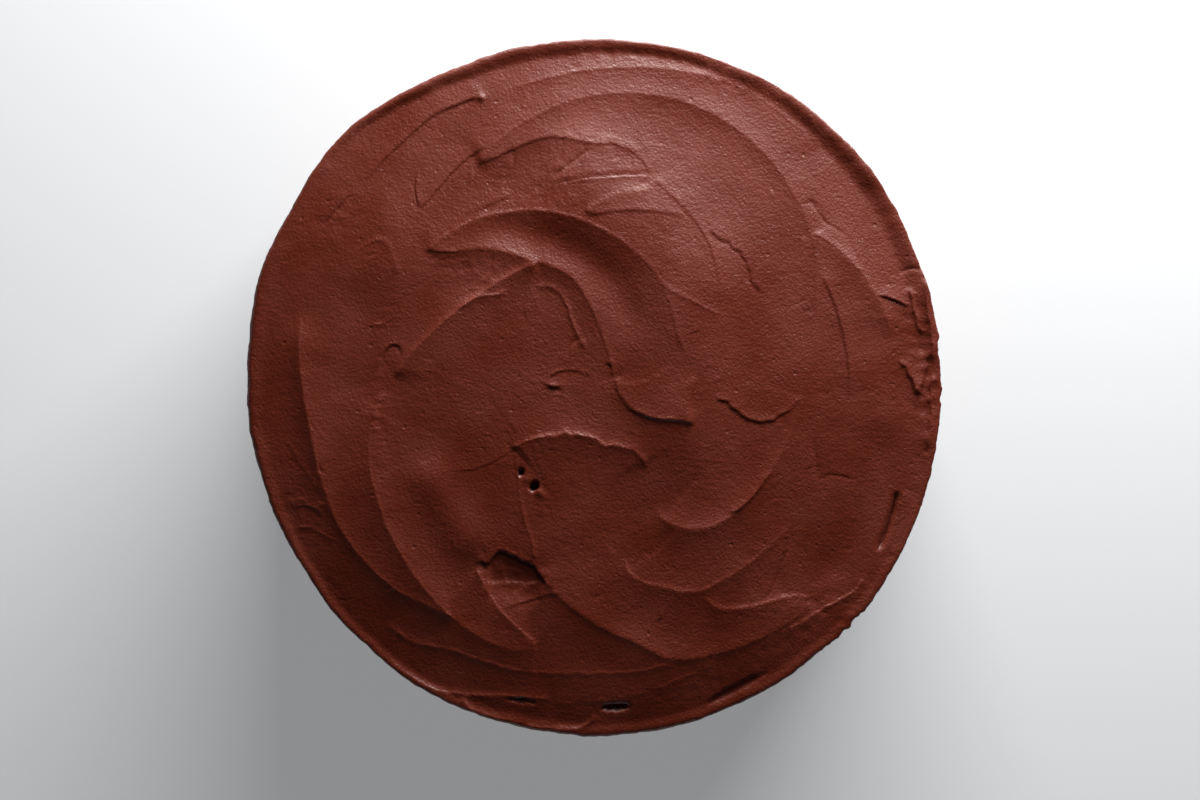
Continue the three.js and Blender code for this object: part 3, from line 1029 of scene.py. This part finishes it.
def wall_rows():
    """Each ring's height and how far the foot's rounding draws it in, from the top down."""
    rows = [(level, 0.0) for level in np.linspace(WALL_TOP, FOOT_ROUNDING, WALL_ROWS)]
    for k in range(1, FOOT_ROWS + 1):
        turn = math.pi / 2 * k / FOOT_ROWS
        rows.append((FOOT_ROUNDING * (1 - math.sin(turn)), FOOT_ROUNDING * (1 - math.cos(turn))))
    return rows


def wall_ring(angle, level, inset):
    z = np.full(WALL_COLUMNS, float(level))
    hollow = WALL_HOLLOW * math.sin(math.pi * level / WALL_TOP) + WALL_INSET
    tuck = SKIRT_TUCK * ease((level - SKIRT_FOOT) / TUCK_FADE)
    spread = FOOT_SPREAD * math.exp(-level / FOOT_REACH)
    scraped = 1 - ease((level - SCRAPED_TOP) / SCRAPED_FADE)
    off_the_floor = level > 0.5  # the lowest rings stay smooth
    relief = wall_relief(angle, z) * scraped * off_the_floor
    return ring(angle, outline(angle, 0.1) - hollow - tuck + spread - inset + relief, z)


def frosting_wall():
    angle = np.arange(WALL_COLUMNS) / WALL_COLUMNS * math.tau
    points = [wall_ring(angle, level, inset) for level, inset in wall_rows()]
    loops = np.arange(len(points) * WALL_COLUMNS).reshape(-1, WALL_COLUMNS)
    squares = [loop_faces(upper, lower) for upper, lower in zip(loops, loops[1:])]
    points.append([[0, 0, WALL_TOP - 4], [0, 0, 0]])
    lid = fan_faces(loops[0], loops.size, up=True)
    foot = fan_faces(loops[-1], loops.size + 1, up=False)
    triangles = np.vstack([lid, foot])
    return mesh_piece("frosting_wall", np.vstack(points), np.vstack(squares), triangles)


# ==== material ==============================================================================
def grey(level):
    return (level, level, level)


class Nodes:
    """Short ways to add and join a material's nodes."""

    def __init__(self, name):
        self.material = bpy.data.materials.new(name)
        self.material.use_nodes = True
        self.tree = self.material.node_tree
        self.shader = self.tree.nodes["Principled BSDF"]
        self.place = self.add("ShaderNodeTexCoord").outputs["Object"]

    def add(self, kind, **values):
        node = self.tree.nodes.new(kind)
        for name, value in values.items():
            if name in node.inputs:
                node.inputs[name].default_value = value
            else:
                setattr(node, name, value)
        return node

    def join(self, source, target):
        self.tree.links.new(source, target)

    def noise(self, scale, detail=2.0, distortion=0.0):
        """Noise from 0 to 1; scale is how many of its lumps go to a metre."""
        node = self.add("ShaderNodeTexNoise", Scale=scale, Detail=detail, Distortion=distortion)
        self.join(self.place, node.inputs["Vector"])
        return node.outputs["Fac"]

    def dots(self, scale, size, empty):
        """1 in the middle of small round dots; empty is the share of cells left without one."""
        cells = self.add("ShaderNodeTexVoronoi", Scale=scale)
        self.join(self.place, cells.inputs["Vector"])
        dot = self.ramp(cells.outputs["Distance"], [(0.0, grey(1)), (size, grey(0))])
        chosen = self.ramp(cells.outputs["Color"], [(empty, grey(0)), (empty + 0.01, grey(1))])
        both = self.add("ShaderNodeMath", operation="MULTIPLY")
        self.join(dot, both.inputs[0])
        self.join(chosen, both.inputs[1])
        return both.outputs["Value"]

    def ramp(self, value, stops):
        """The colour that a value has between stops of a position and a colour each."""
        node = self.add("ShaderNodeValToRGB")
        while len(node.color_ramp.elements) < len(stops):
            node.color_ramp.elements.new(0.5)
        for element, (at, colour) in zip(node.color_ramp.elements, stops):
            element.position = at
            element.color = (*colour, 1)
        self.join(value, node.inputs["Fac"])
        return node.outputs["Color"]

    def sum(self, first, second, weight):
        """The first value with the second, times its weight, added."""
        node = self.add("ShaderNodeMath", operation="MULTIPLY_ADD")
        self.join(second, node.inputs[0])
        node.inputs[1].default_value = weight
        self.join(first, node.inputs[2])
        return node.outputs["Value"]


def frosting_colour(nodes, patches):
    tone = nodes.sum(patches, nodes.noise(900, 2), 0.35)
    colour = nodes.ramp(tone, [(0.45, DARK_BROWN), (0.9, LIGHT_BROWN)])
    nodes.join(colour, nodes.shader.inputs["Base Color"])


def frosting_gloss(nodes, patches):
    """Satin patches, duller where the surface is seen almost edge on."""
    satin = nodes.ramp(patches, [(0.3, grey(SMOOTHEST)), (0.7, grey(ROUGHEST))])
    edge_on = nodes.add("ShaderNodeLayerWeight", Blend=0.5).outputs["Facing"]
    grazing = nodes.add("ShaderNodeMath", operation="POWER")
    nodes.join(edge_on, grazing.inputs[0])
    grazing.inputs[1].default_value = 2.0
    roughness = nodes.sum(satin, grazing.outputs["Value"], GRAZING_ROUGHNESS)
    nodes.join(roughness, nodes.shader.inputs["Roughness"])
    nodes.shader.inputs["IOR"].default_value = FAT_IOR
    nodes.shader.inputs["Specular IOR Level"].default_value = SPECULAR


def frosting_grain(nodes):
    """Bump under about half a millimetre: grain, lumps, pits, crumbs and scars."""
    grain = nodes.noise(1200, 5)
    lumps = nodes.noise(380, 2)
    pits = nodes.dots(190, size=0.14, empty=0.5)
    pinholes = nodes.dots(340, size=0.15, empty=0.55)
    crumbs = nodes.dots(260, size=0.12, empty=0.6)
    scars = nodes.ramp(nodes.noise(430, 3, 1.5), [(0.58, grey(0)), (0.76, grey(1))])
    height = nodes.sum(nodes.sum(grain, lumps, 0.5), pits, -0.8)
    height = nodes.sum(nodes.sum(height, pinholes, -0.45), crumbs, 0.4)
    height = nodes.sum(height, scars, -0.25)
    bump = nodes.add("ShaderNodeBump", Strength=1.0, Distance=BUMP_DEPTH)
    nodes.join(height, bump.inputs["Height"])
    nodes.join(bump.outputs["Normal"], nodes.shader.inputs["Normal"])


def frosting_material():
    nodes = Nodes("chocolate_frosting")
    patches = nodes.noise(55, 3)
    frosting_colour(nodes, patches)
    frosting_gloss(nodes, patches)
    frosting_grain(nodes)
    return nodes.material


# ==== stage =================================================================================
def plain_floor():
    near, far = -FLOOR_HALF, FLOOR_HALF
    corners = [(near, near, 0), (far, near, 0), (far, far, 0), (near, far, 0)]
    mesh = bpy.data.meshes.new("floor")
    mesh.from_pydata(corners, [], [(0, 1, 2, 3)])
    floor = bpy.data.objects.new("floor", mesh)
    bpy.context.scene.collection.objects.link(floor)
    material = bpy.data.materials.new("floor")
    material.use_nodes = True
    shader = material.node_tree.nodes["Principled BSDF"]
    shader.inputs["Base Color"].default_value = (*FLOOR_COLOUR, 1)
    shader.inputs["Roughness"].default_value = 0.9
    shader.inputs["Emission Color"].default_value = (*FLOOR_GLOW_COLOUR, 1)
    shader.inputs["Emission Strength"].default_value = FLOOR_GLOW
    mesh.materials.append(material)


def area_light(name, spot, target, size, watts, colour):
    light = bpy.data.lights.new(name, "AREA")
    light.shape = "RECTANGLE"
    light.size, light.size_y = size
    light.energy = watts
    light.color = colour
    lamp = bpy.data.objects.new(name, light)
    lamp.location = spot
    aim = Vector(target) - Vector(spot)
    lamp.rotation_euler = aim.to_track_quat("-Z", "Y").to_euler()
    bpy.context.scene.collection.objects.link(lamp)


def lights():
    for light in LIGHTS:
        area_light(*light)
    world = bpy.data.worlds.new("room")
    world.use_nodes = True
    sky = world.node_tree.nodes["Background"]
    sky.inputs["Color"].default_value = (*ROOM_COLOUR, 1)
    sky.inputs["Strength"].default_value = ROOM_GLOW
    bpy.context.scene.world = world


def camera():
    """Looks straight down, as a new Blender camera does."""
    data = bpy.data.cameras.new("camera")
    data.lens = data.sensor_width * CAMERA_HEIGHT / PICTURE_WIDTH
    eye = bpy.data.objects.new("camera", data)
    eye.location = (CAMERA_X * MM, CAMERA_Y * MM, (TOP + CAMERA_HEIGHT) * MM)
    bpy.context.scene.collection.objects.link(eye)
    bpy.context.scene.camera = eye


def build():
    material = frosting_material()
    for piece in (frosting_top(), frosting_wall()):
        piece.data.materials.append(material)
        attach(piece, "root")
        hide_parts("frosted_cake")


build()
plain_floor()
lights()
camera()
bpy.context.scene.view_settings.view_transform = "Standard"
